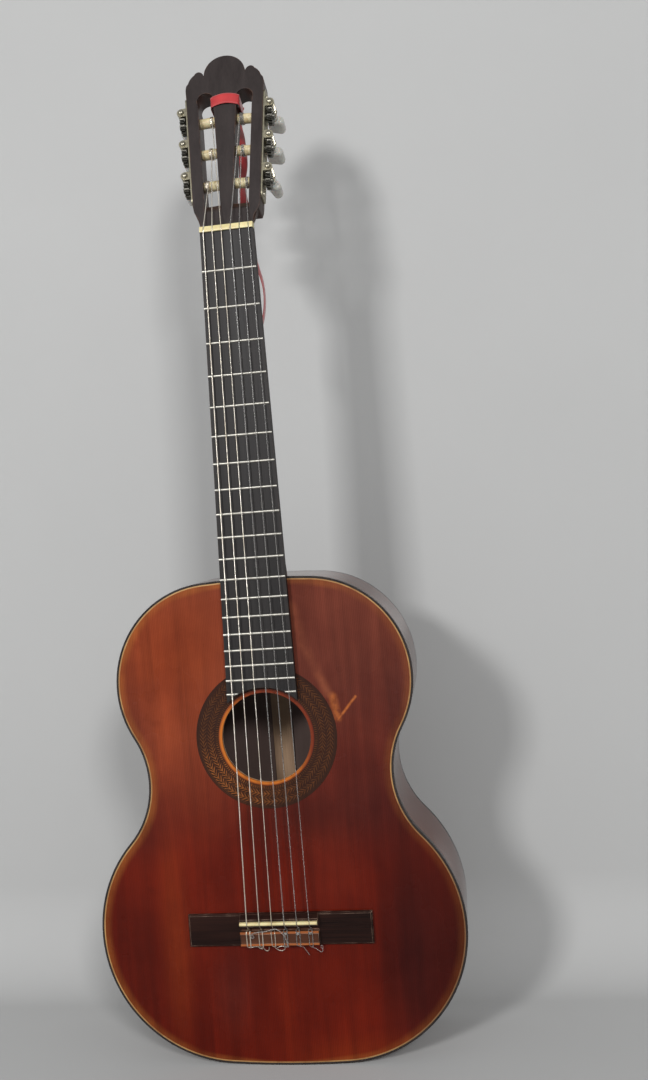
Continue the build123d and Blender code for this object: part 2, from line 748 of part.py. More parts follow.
# ---- worm and gear: a rack-shaped thread drives a fourteen-tooth wheel ----
thread_pitch = pi * gear_module
thread_outer, thread_root, thread_length = 4.1, 1.9, 13.4
thread_turn = 360 * thread_length / thread_pitch
pressure_angle = 20
thread_thickness = 0.44 * thread_pitch
tooth_above, tooth_below, tooth_sunk = 0.95, 1.3, 0.3
gear_outer, gear_root = (gear_module * (gear_teeth / 2 + step) for step in (tooth_above, -tooth_below))
tooth_tip_half, tooth_root_half = 0.34, 0.98
hub_radius, gear_bore = 4, shank_radius
lead_angle = degrees(atan(thread_pitch / (2 * pi * worm_pitch_radius)))
gear_twist = degrees(gear_face * tan(radians(lead_angle)) / (gear_module * gear_teeth / 2))
knob_height, button_collar_length, button_bore = 2.6, 4, 11
gear_screw_head, gear_screw_rise, gear_screw_taper = 3.1, 1.5, 15
gear_screw_radius, gear_screw_length = 1.2, 5
knob_radius, button_front, button_collar_radius = 2.7, 14, 3.4
button_width, button_thickness, button_length = 17, 9.5, 18
button_corner, button_edge, knob_edge = 4.275, 2.6, 1.82
button_turns = {1: 38, 2: 80, 3: 76, 4: 100, 5: 76, 6: 96}


def thread_angle(radius):
    """Half the angle that the thread fills at a radius, in degrees."""
    half = thread_thickness / 2 + (worm_pitch_radius - radius) * tan(radians(pressure_angle))
    return 360 * half / thread_pitch


def thread_section():
    """Cut square through a one-start thread: crest arc, two spiral flanks and root arc."""
    flank = [thread_outer + (thread_root - thread_outer) * step / 4 for step in range(5)]

    def polar(radius, angle):
        return (radius * cos(radians(angle)), radius * sin(radians(angle)))

    with BuildSketch() as section:
        with BuildLine():
            ThreePointArc(
                polar(thread_outer, -thread_angle(thread_outer)),
                polar(thread_outer, 0),
                polar(thread_outer, thread_angle(thread_outer)),
            )
            ThreePointArc(
                polar(thread_root, thread_angle(thread_root)),
                polar(thread_root, 180),
                polar(thread_root, -thread_angle(thread_root)),
            )
            Spline([polar(radius, thread_angle(radius)) for radius in flank])
            Spline([polar(radius, -thread_angle(radius)) for radius in flank])
        make_face()
    return section.face()


def gear_section():
    """Wheel with tapered teeth, and a gap between two of them on the x axis."""
    with BuildSketch() as tooth:
        with BuildLine():
            Polyline(
                (gear_root - tooth_sunk, -tooth_root_half),
                (gear_outer, -tooth_tip_half),
                (gear_outer, tooth_tip_half),
                (gear_root - tooth_sunk, tooth_root_half),
                close=True,
            )
        make_face()
    with BuildSketch() as section:
        Circle(gear_root)
        with PolarLocations(0, gear_teeth, start_angle=180 / gear_teeth):
            add(tooth.sketch)
    return section.face()


def turned(plane, angle):
    """The plane turned about its own normal."""
    return Plane(plane.location * Rotation(0, 0, angle))


def twisted(section, plane, length, turn):
    """Prism that turns as it rises, with its middle slice standing as the section is drawn."""
    start = turned(plane.offset(-length / 2), -turn / 2)
    return Solid.extrude_linear_with_rotation(
        start * section, center=start.origin, normal=start.z_dir * length, angle=turn
    )


thread_profile = thread_section()
wheel_profile = gear_section()
for string, (hand, seat) in stations.items():
    bearing = worm_axis_plane(hand, seat)
    with BuildPart() as worm:
        add(twisted(thread_profile, turned(bearing, 180), thread_length, thread_turn))
        with BuildSketch(bearing.offset(-button_front - button_bore)):
            Circle(worm_journal)
        extrude(amount=button_front + button_bore + lug_inner + lug_thickness + running_gap)
        with BuildSketch(bearing.offset(lug_inner + lug_thickness + running_gap)):
            Circle(knob_radius)
        extrude(amount=knob_height)
        knob_face = worm.faces().sort_by(Axis(bearing.origin, bearing.z_dir))[-1]
        fillet(knob_face.edges(), radius=knob_edge)
    save(worm, f"string_{string}_worm")

    with BuildPart() as button:
        with BuildSketch(turned(bearing.offset(-button_front - button_collar_length), button_turns[string])):
            RectangleRounded(button_width, button_thickness, button_corner)
        extrude(amount=-button_length)
        fillet(button.faces().filter_by(Axis(bearing.origin, bearing.z_dir)).edges(), radius=button_edge)
        with BuildSketch(bearing.offset(-button_front)):
            Circle(button_collar_radius)
        extrude(amount=-button_collar_length)
        with BuildSketch(bearing.offset(-button_front)):
            Circle(worm_journal)
        extrude(amount=-button_bore, mode=Mode.SUBTRACT)
    save(button, f"string_{string}_button")

    wheel_middle = seat.offset(hand * gear_plane)
    with BuildPart() as gear:
        add(twisted(wheel_profile, wheel_middle, gear_face, gear_twist))
        with BuildSketch(wheel_middle):
            Circle(hub_radius)
        extrude(amount=hand * -(gear_plane - plate_thickness - running_gap))
        with BuildSketch(wheel_middle.offset(-gear_face)):
            Circle(gear_bore)
        extrude(amount=beyond, both=True, mode=Mode.SUBTRACT)
    with BuildPart() as gear_screw:
        with BuildSketch(wheel_middle.offset(hand * gear_face / 2)):
            Circle(gear_screw_head)
        extrude(amount=hand * gear_screw_rise, taper=gear_screw_taper)
        with BuildSketch(wheel_middle.offset(hand * gear_face / 2)):
            Circle(gear_screw_radius)
        extrude(amount=-hand * gear_screw_length)
    gear.part.label = f"string_{string}_gear"
    wheel_and_screw = Compound([gear.part, gear_screw.part], label=gear.part.label)
    export_step(wheel_and_screw, "parts/" + wheel_and_screw.label + ".step")

    with BuildPart() as roller:
        with BuildSketch(seat.offset(hand * (gear_plane + gear_face / 2))):
            Circle(shank_radius)
        extrude(amount=-hand * (gear_plane + gear_face / 2))
        with BuildSketch(seat.offset(-hand * barrel_start)):
            Circle(barrel_radius)
        extrude(amount=-hand * (slot_inner_edge - 2 * barrel_start))
        with BuildSketch(seat):
            Circle(journal_radius)
        extrude(amount=-hand * (slot_inner_edge + journal_length))
        with BuildSketch(seat.offset(hand * (gear_plane + gear_face / 2))):
            Circle(gear_screw_radius)
        extrude(amount=-hand * gear_screw_length, mode=Mode.SUBTRACT)
    save(roller, f"string_{string}_roller")

    diameter = string_diameters[string - 1]
    on_roller = Plane(origin=roller_point(string, winding_x[string]), x_dir=seat.x_dir, z_dir=seat.z_dir)
    with BuildPart() as winding:
        with BuildSketch(on_roller.offset(-hand * diameter / 2)):
            Circle(barrel_radius + diameter)
            Circle(barrel_radius, mode=Mode.SUBTRACT)
        extrude(amount=hand * diameter * winding_turns)
    save(winding, f"string_{string}_winding")

# ---- ribbon: wound once round the rib between the slots, knotted behind, its loop hanging ----
wrap_s, ribbon_width, ribbon_thickness, wrap_half_width, wrap_gap = 129, 11, 0.9, 13.4, 0.4
wrap_corner = 2.5
loop_top, loop_bottom, loop_depth, loop_fold = (6, 922), (4, 678), 54, 1.5
loop_pulls = [(24, 770), (22, 690), (-10, 685), (-7, 800)]
loop_inside_top = (loop_top[0], loop_top[1] - 20)
loop_inside_bottom = (loop_bottom[0], loop_bottom[1] + ribbon_thickness)
knot_radius, knot_behind, knot_drop = 4.5, 3, 2
with BuildSketch() as hanging_loop:
    with BuildLine():
        Bezier(loop_top, *loop_pulls[:2], loop_bottom)
        Bezier(loop_bottom, *loop_pulls[2:], loop_top)
    make_face()
with BuildSketch() as hanging_loop_inside:
    with BuildLine():
        right_pulls = [(x - loop_fold, z) for x, z in loop_pulls[:2]]
        left_pulls = [(x + loop_fold, z) for x, z in loop_pulls[2:]]
        Bezier(loop_inside_top, *right_pulls, loop_inside_bottom)
        Bezier(loop_inside_bottom, *left_pulls, loop_inside_top)
    make_face()
with BuildPart() as ribbon:
    rib_section = Plane(
        origin=head_seat.from_local_coords(Vector(0, wrap_s, (veneer - head_core) / 2)),
        x_dir=(1, 0, 0),
        z_dir=up_the_head,
    )
    inner_width, inner_depth = 2 * wrap_half_width, head_core + veneer + 2 * wrap_gap
    with BuildSketch(rib_section):
        RectangleRounded(inner_width + 2 * ribbon_thickness, inner_depth + 2 * ribbon_thickness, wrap_corner)
        RectangleRounded(inner_width, inner_depth, wrap_corner - ribbon_thickness, mode=Mode.SUBTRACT)
    extrude(amount=ribbon_width)
    with BuildSketch(board(-loop_depth)):
        add(hanging_loop.sketch)
        add(hanging_loop_inside.sketch, mode=Mode.SUBTRACT)
    extrude(amount=-ribbon_width)
    with Locations(at(loop_top[0], -loop_depth - knot_behind, loop_top[1] - knot_drop)):
        Sphere(knot_radius)
save(ribbon, "ribbon")
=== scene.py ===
import json
import math

import bmesh
import bpy
from mathutils import Matrix, Vector


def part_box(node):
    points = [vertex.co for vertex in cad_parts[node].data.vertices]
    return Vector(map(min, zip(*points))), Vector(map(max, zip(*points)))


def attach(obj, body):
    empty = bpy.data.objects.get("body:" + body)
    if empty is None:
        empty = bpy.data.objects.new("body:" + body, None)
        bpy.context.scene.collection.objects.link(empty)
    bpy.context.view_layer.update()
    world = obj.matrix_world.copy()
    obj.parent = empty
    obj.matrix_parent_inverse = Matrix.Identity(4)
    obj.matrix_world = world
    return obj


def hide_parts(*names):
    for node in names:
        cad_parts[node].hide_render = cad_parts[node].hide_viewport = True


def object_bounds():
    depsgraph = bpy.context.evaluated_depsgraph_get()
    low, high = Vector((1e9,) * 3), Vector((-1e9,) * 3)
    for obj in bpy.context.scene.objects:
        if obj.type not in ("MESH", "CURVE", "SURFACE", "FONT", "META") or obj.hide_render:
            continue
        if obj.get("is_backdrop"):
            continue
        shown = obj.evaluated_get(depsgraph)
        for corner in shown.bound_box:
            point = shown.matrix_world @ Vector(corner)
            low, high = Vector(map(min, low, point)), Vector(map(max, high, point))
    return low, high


# A classical guitar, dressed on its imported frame. Metres, in the row's own frame:
# +Z up the neck, the soundboard faces -Y, +X is the treble side.
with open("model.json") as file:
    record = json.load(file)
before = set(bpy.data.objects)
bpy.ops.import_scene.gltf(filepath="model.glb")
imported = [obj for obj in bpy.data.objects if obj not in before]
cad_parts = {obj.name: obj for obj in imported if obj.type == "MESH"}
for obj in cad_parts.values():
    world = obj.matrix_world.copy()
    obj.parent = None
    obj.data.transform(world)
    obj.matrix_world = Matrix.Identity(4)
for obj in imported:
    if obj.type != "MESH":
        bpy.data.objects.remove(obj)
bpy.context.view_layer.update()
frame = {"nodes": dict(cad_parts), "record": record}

RECORD = frame["record"]
JOINTS = {joint["name"]: joint for joint in RECORD["behaviour"]["joints"]}
SLOT_OF = {part["node"]: part["material_slot"] for part in RECORD["subparts"]}
STRINGS = range(1, 7)
WOUND = (4, 5, 6)
DIAMETERS = {1: 0.00072, 2: 0.00082, 3: 0.00102, 4: 0.00076, 5: 0.0009, 6: 0.0011}
FACE_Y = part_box("soundboard")[0].y
ROSETTE = (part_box("rosette")[0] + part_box("rosette")[1]) / 2
BODY_MIDDLE = (0, 0, 0.25)


# ---- camera: a little right of the middle, turned and rolled as the photograph is ----
CAMERA_PLACE = (0.1916, -0.9725, 0.5126)
CAMERA_RIGHT = (0.98874, 0.12973, -0.07463)
CAMERA_FORWARD = (-0.13142, 0.99116, -0.01817)
CAMERA_LENS = 33.33

camera_data = bpy.data.cameras.new("camera")
camera = bpy.data.objects.new("camera", camera_data)
bpy.context.collection.objects.link(camera)
right = Vector(CAMERA_RIGHT).normalized()
forward = Vector(CAMERA_FORWARD).normalized()
up = right.cross(forward).normalized()
right = forward.cross(up).normalized()
turn = Matrix((right, up, -forward)).transposed().to_4x4()
camera.matrix_world = Matrix.Translation(CAMERA_PLACE) @ turn
camera_data.sensor_width = 36
camera_data.lens = CAMERA_LENS
camera_data.clip_start, camera_data.clip_end = 0.01, 50
bpy.context.scene.camera = camera


# ---- node writing ----
class Paint:
    """One material and short ways to write its nodes."""

    def __init__(self, name, **values):
        self.material = bpy.data.materials.new(name)
        self.material.use_nodes = True
        self.tree = self.material.node_tree
        self.shader = self.tree.nodes["Principled BSDF"]
        self.place = self.node("ShaderNodeTexCoord").outputs["Object"]
        for socket, value in values.items():
            self.shader.inputs[socket.replace("_", " ")].default_value = value

    def put(self, socket, value):
        """Link a socket, or set its value."""
        if isinstance(value, bpy.types.NodeSocket):
            self.tree.links.new(value, socket)
        elif value is not None:
            if socket.type == "RGBA" and len(value) == 3:
                value = (*value, 1)
            socket.default_value = value

    def node(self, kind, inputs=None, **facts):
        made = self.tree.nodes.new(kind)
        for name, value in facts.items():
            setattr(made, name, value)
        for name, value in (inputs or {}).items():
            self.put(made.inputs[name], value)
        return made

    def sum(self, operation, *terms):
        """A Math node on numbers or sockets."""
        made = self.node("ShaderNodeMath", operation=operation)
        for socket, term in zip(made.inputs, terms):
            self.put(socket, term)
        return made.outputs[0]

    def stretched(self, scale):
        return self.node("ShaderNodeMapping", {"Vector": self.place, "Scale": scale}).outputs[0]

    def noise(self, scale, vector=None, detail=3, roughness=0.5, distortion=0.0):
        inputs = {"Vector": vector or self.place, "Scale": scale, "Detail": detail}
        inputs["Roughness"] = roughness
        inputs["Distortion"] = distortion
        return self.node("ShaderNodeTexNoise", inputs).outputs["Fac"]

    def range(self, value, low, high, to_low=0.0, to_high=1.0, smooth=False):
        inputs = {"Value": value, "From Min": low, "From Max": high, "To Min": to_low, "To Max": to_high}
        style = "SMOOTHSTEP" if smooth else "LINEAR"
        return self.node("ShaderNodeMapRange", inputs, interpolation_type=style).outputs["Result"]

    def ramp(self, value, stops):
        made = self.node("ShaderNodeValToRGB", {"Fac": value})
        elements = made.color_ramp.elements
        while len(elements) < len(stops):
            elements.new(0.5)
        for element, (position, colour) in zip(elements, stops):
            element.position = position
            element.color = (*colour, 1)
        return made.outputs["Color"]

    def mix(self, factor, first, second, blend="MIX"):
        made = self.node("ShaderNodeMix", data_type="RGBA", blend_type=blend)
        self.put(made.inputs[0], factor)
        self.put(made.inputs[6], first)
        self.put(made.inputs[7], second)
        return made.outputs[2]

    def blob(self, centre, reach):
        """1 at a centre, fading to 0 at its reach along each axis."""
        inner = self.node("ShaderNodeVectorMath", {0: self.place, 1: centre}, operation="SUBTRACT")
        scaled = self.node("ShaderNodeVectorMath", {0: inner.outputs[0], 1: reach}, operation="DIVIDE")
        size = self.node("ShaderNodeVectorMath", {0: scaled.outputs[0]}, operation="LENGTH")
        return self.range(size.outputs["Value"], 0, 1, 1, 0, smooth=True)

    def stroke(self, start, end, width):
        """1 along a short straight stroke on the surface, fading to 0 at its width."""
        start, end = Vector(start), Vector(end)
        along = end - start
        reach = self.node("ShaderNodeVectorMath", {0: self.place, 1: start}, operation="SUBTRACT").outputs[0]
        dot = self.node("ShaderNodeVectorMath", {0: reach, 1: along / along.length_squared}, operation="DOT_PRODUCT")
        share = self.node("ShaderNodeClamp", {"Value": dot.outputs["Value"]}).outputs[0]
        nearest = self.node("ShaderNodeVectorMath", {0: along, "Scale": share}, operation="SCALE")
        apart = self.node("ShaderNodeVectorMath", {0: reach, 1: nearest.outputs[0]}, operation="DISTANCE")
        return self.range(apart.outputs["Value"], 0, width, 1, 0, smooth=True)

    def colour(self, value):
        self.put(self.shader.inputs["Base Color"], value)

    def rough(self, factor, low, high):
        self.put(self.shader.inputs["Roughness"], self.range(factor, 0.25, 0.75, low, high))

    def bump(self, height, distance, strength=1.0, edge=0.0):
        inputs = {"Height": height, "Distance": distance, "Strength": strength}
        if edge:
            inputs["Normal"] = self.node("ShaderNodeBevel", {"Radius": edge}, samples=4).outputs[0]
        made = self.node("ShaderNodeBump", inputs)
        self.put(self.shader.inputs["Normal"], made.outputs[0])


def wood(name, dark, light, across=(900, 900, 12), figure=0.5, rough=(0.35, 0.5), edge=0.0, wear=None,
         bump=0.00006, gloss=0.5, inner=None):
    """Open-grained wood: fine pores along z, broad streaks, worn edges, and bare wood inside the body."""
    paint = Paint(name)
    paint.shader.inputs["Specular IOR Level"].default_value = gloss
    pores = paint.noise(1, paint.stretched(across), 4, 0.65)
    streaks = paint.noise(1, paint.stretched([a * 0.12 for a in across]), 3, 0.55, 0.6)
    tone = paint.sum("ADD", paint.sum("MULTIPLY", pores, 1 - figure), paint.sum("MULTIPLY", streaks, figure))
    colour = paint.ramp(tone, [(0.32, dark), (0.68, light)])
    if wear:
        rim = paint.node("ShaderNodeBevel", {"Radius": 0.0012}, samples=6).outputs[0]
        flat = paint.node("ShaderNodeNewGeometry").outputs["Normal"]
        facing = paint.node("ShaderNodeVectorMath", {0: rim, 1: flat}, operation="DOT_PRODUCT").outputs["Value"]
        worn = paint.sum("MULTIPLY", paint.range(facing, 0.995, 0.9), paint.range(paint.noise(160), 0.4, 0.65))
        colour = paint.mix(worn, colour, wear)
    if inner:
        from_middle = paint.node("ShaderNodeVectorMath", {0: paint.place, 1: BODY_MIDDLE}, operation="SUBTRACT")
        flat = paint.node("ShaderNodeNewGeometry").outputs["Normal"]
        outward = paint.node("ShaderNodeVectorMath", {0: flat, 1: from_middle.outputs[0]}, operation="DOT_PRODUCT")
        inside = paint.range(outward.outputs["Value"], 0.0005, -0.0005)
        colour = paint.mix(inside, colour, paint.mix(streaks, inner, [part * 1.5 for part in inner]))
        paint.colour(colour)
        polished = paint.range(streaks, 0.25, 0.75, *rough)
        bare = paint.sum("MULTIPLY", inside, 0.75)
        paint.put(paint.shader.inputs["Roughness"], paint.sum("MAXIMUM", bare, polished))
    else:
        paint.colour(colour)
        paint.rough(streaks, *rough)
    paint.bump(pores, bump, edge=edge)
    return paint.material


def metal(name, colour, rough=(0.2, 0.4), dirt=(0.1, 0.08, 0.06), spread=0.4, edge=0.0):
    """Metal with small scratches, and dirt that gathers in patches."""
    paint = Paint(name, Metallic=1.0)
    patches = paint.noise(190, detail=5, roughness=0.6)
    fine = paint.noise(1, paint.stretched((2200, 2200, 300)), 3)
    paint.colour(paint.mix(paint.range(patches, 0.5, 0.75, 0, spread), colour, dirt))
    paint.rough(patches, *rough)
    paint.bump(fine, 0.00002, edge=edge)
    return paint.material


def plastic(name, light, dark, scale=120, rough=(0.2, 0.4), edge=0.0, through=0.0):
    """Moulded plastic or bone with cloudy variation."""
    paint = Paint(name)
    paint.shader.inputs["Subsurface Weight"].default_value = through
    paint.shader.inputs["Subsurface Scale"].default_value = 0.002
    clouds = paint.noise(scale, detail=5, roughness=0.6, distortion=0.8)
    fine = paint.noise(scale * 12, detail=2)
    paint.colour(paint.ramp(clouds, [(0.3, dark), (0.65, light)]))
    paint.rough(clouds, *rough)
    paint.bump(fine, 0.00002, edge=edge)
    return paint.material


# ---- soundboard: stained spruce under a glossy, worn finish ----
def outline_distance(paint, x, z):
    """How far a point of the soundboard lies inside its outline, in metres."""
    low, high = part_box("soundboard")
    height, reach = high.z - low.z, 0.25
    mesh = frame["nodes"]["soundboard"].data
    stations = []
    for step in range(1, 48):
        level = low.z + height * step / 48
        widest = 0
        for edge in mesh.edges:
            first, second = (mesh.vertices[index].co for index in edge.vertices)
            if (first.z - level) * (second.z - level) < 0:
                share = (level - first.z) / (second.z - first.z)
                widest = max(widest, abs(first.x + (second.x - first.x) * share))
        stations.append((step / 48, widest / reach))
    slice_height = 0.004

    def half_width(height_share):
        made = paint.node("ShaderNodeFloatCurve", {"Value": height_share})
        points = made.mapping.curves[0].points
        points[0].location, points[1].location = (0, 0), (1, 0)
        for station in stations:
            points.new(*station)
        made.mapping.update()
        return paint.sum("MULTIPLY", made.outputs[0], reach)

    share = paint.range(z, low.z, high.z)
    here = half_width(share)
    above = half_width(paint.sum("ADD", share, slice_height / height))
    slope = paint.sum("DIVIDE", paint.sum("SUBTRACT", above, here), slice_height)
    steep = paint.sum("SQRT", paint.sum("ADD", 1, paint.sum("MULTIPLY", slope, slope)))
    return paint.sum("DIVIDE", paint.sum("SUBTRACT", here, paint.sum("ABSOLUTE", x)), steep)


# Stain, patch over patch, with painted shade and a painted reflection among them: middle (x, z), reach (x, z), how
# strong, colour.
STAIN_AND_LIGHT = [
    ((-0.09, 0.38), (0.13, 0.2), 0.95, (0.22, 0.042, 0.013)),
    ((-0.135, 0.31), (0.035, 0.07), 0.55, (0.07, 0.014, 0.011)),
    ((-0.1, 0.17), (0.06, 0.1), 0.6, (0.155, 0.013, 0.003)),
    ((-0.125, 0.235), (0.06, 0.06), 0.6, (0.065, 0.008, 0.005)),
    ((-0.14, 0.11), (0.04, 0.11), 0.6, (0.062, 0.005, 0.002)),
    ((-0.102, 0.12), (0.022, 0.15), 0.5, (0.19, 0.03, 0.006)),
    ((0.025, 0.24), (0.09, 0.05), 0.7, (0.06, 0.009, 0.005)),
    ((0.1, 0.25), (0.09, 0.08), 0.6, (0.05, 0.01, 0.008)),
    ((0.05, 0.19), (0.05, 0.06), 0.4, (0.12, 0.014, 0.006)),
    # Painted shade over darker stain on the lower treble side:
    ((0.19, 0.1), (0.13, 0.22), 0.97, (0.028, 0.003, 0.002)),
    ((0.125, 0.1), (0.045, 0.18), 0.85, (0.034, 0.004, 0.003)),
    ((0.08, -0.005), (0.11, 0.045), 0.8, (0.16, 0.02, 0.004)),
    ((0.0, 0.05), (0.013, 0.07), 0.45, (0.15, 0.014, 0.003)),
    # Painted reflection: a faint pale purplish blot low on the bass side.
    ((-0.05, 0.07), (0.03, 0.06), 0.3, (0.12, 0.026, 0.018)),
    ((0.1, 0.42), (0.1, 0.1), 0.4, (0.125, 0.034, 0.022)),
    ((0.14, 0.34), (0.04, 0.08), 0.5, (0.07, 0.018, 0.014)),
]


def soundboard_material():
    """Stained and polished spruce, with a golden rim, the bare edge of the soundhole and its scratches."""
    paint = Paint("soundboard_stain")
    shader = paint.shader
    shader.inputs["Coat Weight"].default_value = 0.14
    shader.inputs["Coat Roughness"].default_value = 0.08
    shader.inputs["Specular IOR Level"].default_value = 0.08
    parts = paint.node("ShaderNodeSeparateXYZ", {0: paint.place})
    x, z = parts.outputs["X"], parts.outputs["Z"]
    rings = paint.node(
        "ShaderNodeTexWave",
        {"Vector": paint.place, "Scale": 190, "Distortion": 1.6, "Detail": 2, "Detail Scale": 0.4},
        bands_direction="X",
    ).outputs["Fac"]
    fibres = paint.noise(1, paint.stretched((2600, 2600, 22)), 3, 0.6)
    streaks = paint.noise(1, paint.stretched((75, 75, 3.5)), 3, 0.6, 0.5)
    blots = paint.noise(34, detail=5, roughness=0.6)
    colour = paint.mix(paint.range(z, 0.18, 0.4, smooth=True), (0.105, 0.0075, 0.002), (0.115, 0.028, 0.017))
    for middle, reach, strength, patch_colour in STAIN_AND_LIGHT:
        patch = paint.blob((middle[0], FACE_Y, middle[1]), (reach[0], 1, reach[1]))
        colour = paint.mix(paint.sum("MULTIPLY", patch, strength), colour, patch_colour)
    inside = outline_distance(paint, x, z)
    rim = paint.range(inside, 0.002, 0.01, 1, 0, smooth=True)
    rim = paint.sum("MULTIPLY", rim, paint.range(blots, 0.3, 0.6, 0.45, 1))
    rim = paint.sum("MULTIPLY", rim, paint.range(x, -0.08, 0.16, 0.42, 0.14))
    colour = paint.mix(rim, colour, (0.34, 0.12, 0.025))
    clouds = paint.noise(13, detail=5, roughness=0.58, distortion=0.3)
    colour = paint.mix(paint.range(clouds, 0.35, 0.65, 0.9, 0), colour, (0.7, 0.62, 0.66), "MULTIPLY")
    # Broad vertical streaks: the lighter ones are painted reflections in the gloss, the darker ones are tone in the
    # wood.
    colour = paint.mix(paint.range(streaks, 0.3, 0.7), colour, (1.3, 1.25, 1.2), "MULTIPLY")
    colour = paint.mix(paint.range(streaks, 0.7, 0.3, 0, 0.5), colour, (0.7, 0.66, 0.66), "MULTIPLY")
    grain = paint.sum("ADD", paint.sum("MULTIPLY", rings, 0.55), paint.sum("MULTIPLY", fibres, 0.45))
    colour = paint.mix(paint.range(grain, 0.3, 0.75, 0, 0.6), colour, (0.74, 0.68, 0.66), "MULTIPLY")
    colour = paint.mix(paint.range(blots, 0.62, 0.75, 0, 0.35), colour, (0.6, 0.5, 0.5), "MULTIPLY")
    # The wood left bare round the soundhole, brightest where the light falls on it.
    from_hole = paint.node(
        "ShaderNodeVectorMath", {0: paint.place, 1: (0, FACE_Y, ROSETTE.z)}, operation="DISTANCE"
    ).outputs["Value"]
    rim_radius = 0.0459
    bare = paint.range(from_hole, rim_radius, rim_radius + 0.0003, 1, 0)
    lit = paint.range(paint.sum("ADD", x, z), ROSETTE.z + 0.04, ROSETTE.z - 0.03, smooth=True)
    shade = paint.range(from_hole, rim_radius - 0.0015, rim_radius - 0.0005, 1, 0.25)
    bare = paint.sum("MULTIPLY", bare, shade)
    colour = paint.mix(bare, colour, paint.mix(lit, (0.15, 0.026, 0.01), (0.42, 0.12, 0.018)))
    # Worn and scratched through: a V beside the rosette, chips above it and a long faint rub.
    worn = paint.sum(
        "MAXIMUM",
        paint.sum("MULTIPLY", paint.stroke((0.066, FACE_Y, 0.349), (0.0695, FACE_Y, 0.329), 0.0062), 0.7),
        paint.stroke((0.0695, FACE_Y, 0.327), (0.0875, FACE_Y, 0.348), 0.002),
    )
    worn = paint.sum("MULTIPLY", worn, paint.range(paint.noise(260), 0.3, 0.55, 0.35, 1))
    colour = paint.mix(worn, colour, (0.36, 0.1, 0.025))
    rub = paint.sum(
        "MAXIMUM",
        paint.stroke((0.033, FACE_Y, 0.436), (0.042, FACE_Y, 0.4), 0.009),
        paint.stroke((0.042, FACE_Y, 0.4), (0.062, FACE_Y, 0.352), 0.007),
    )
    colour = paint.mix(paint.sum("MULTIPLY", rub, paint.range(blots, 0.35, 0.6, 0.1, 0.45)), colour, (0.3, 0.09, 0.04))
    paint.colour(colour)
    paint.rough(paint.noise(14, detail=4), 0.2, 0.36)
    paint.bump(fibres, 0.00002)
    return paint.material


def rosette_material():
    """Marquetry ring: two rows of leaves between a rope border and dark stringing."""
    paint = Paint("rosette_marquetry")
    paint.shader.inputs["Coat Weight"].default_value = 0.12
    paint.shader.inputs["Coat Roughness"].default_value = 0.1
    paint.shader.inputs["Specular IOR Level"].default_value = 0.12
    parts = paint.node("ShaderNodeSeparateXYZ", {0: paint.place})
    x, z = parts.outputs["X"], paint.sum("SUBTRACT", parts.outputs["Z"], ROSETTE.z)
    radius = paint.sum("SQRT", paint.sum("ADD", paint.sum("MULTIPLY", x, x), paint.sum("MULTIPLY", z, z)))
    angle = paint.sum("ARCTAN2", z, x)
    dark, leaf_colour = (0.014, 0.005, 0.003), (0.27, 0.085, 0.018)
    tone = paint.noise(210, detail=4)
    colour = paint.mix(tone, (0.03, 0.01, 0.005), dark)
    # Painted highlight: the leaves and rings show brighter low on the bass side of the hole.
    rosette_highlight = paint.blob((-0.035, FACE_Y, ROSETTE.z - 0.045), (0.075, 1, 0.06))
    strength = paint.sum("MULTIPLY", paint.range(rosette_highlight, 0, 0.8, 0.28, 1), paint.range(tone, 0.35, 0.6, 0.35, 1))
    # Rows: inner and outer radius, leaves round the ring, how far they lean.
    for inner, outer, leaves, lean in ((0.0464, 0.0492, 150, 0.5), (0.0503, 0.0572, 104, 2.6),
                                       (0.0578, 0.0646, 104, 2.6)):
        share = paint.range(radius, inner, outer, -1, 1)
        fold = paint.sum("ABSOLUTE", share)
        wander = paint.sum("MULTIPLY", paint.noise(420, detail=2), 0.5)
        leaf_number = paint.sum("MULTIPLY", angle, leaves / (2 * math.pi))
        turn = paint.sum("ADD", leaf_number, paint.sum("MULTIPLY", fold, lean / 2))
        line = paint.sum("PINGPONG", paint.sum("ADD", turn, wander), 0.5)
        leaf = paint.range(line, 0.1, 0.26, 1, 0)
        leaf = paint.sum("MULTIPLY", leaf, paint.range(fold, 0.8, 1.0, 1, 0))
        spine = paint.range(fold, 0.04, 0.12, 0.8, 0) if lean > 1 else 0
        leaf = paint.sum("MULTIPLY", paint.sum("MAXIMUM", leaf, spine), strength)
        colour = paint.mix(leaf, colour, leaf_colour)
    for middle, half in ((0.0498, 0.0002), (0.0575, 0.0002), (0.0652, 0.0003), (0.0667, 0.0002)):
        ring = paint.range(paint.sum("ABSOLUTE", paint.sum("SUBTRACT", radius, middle)), half, half * 1.8, 0.5, 0)
        colour = paint.mix(paint.sum("MULTIPLY", ring, strength), colour, (0.12, 0.04, 0.014))
    paint.colour(colour)
    paint.rough(tone, 0.25, 0.42)
    paint.bump(tone, 0.00003)
    return paint.material


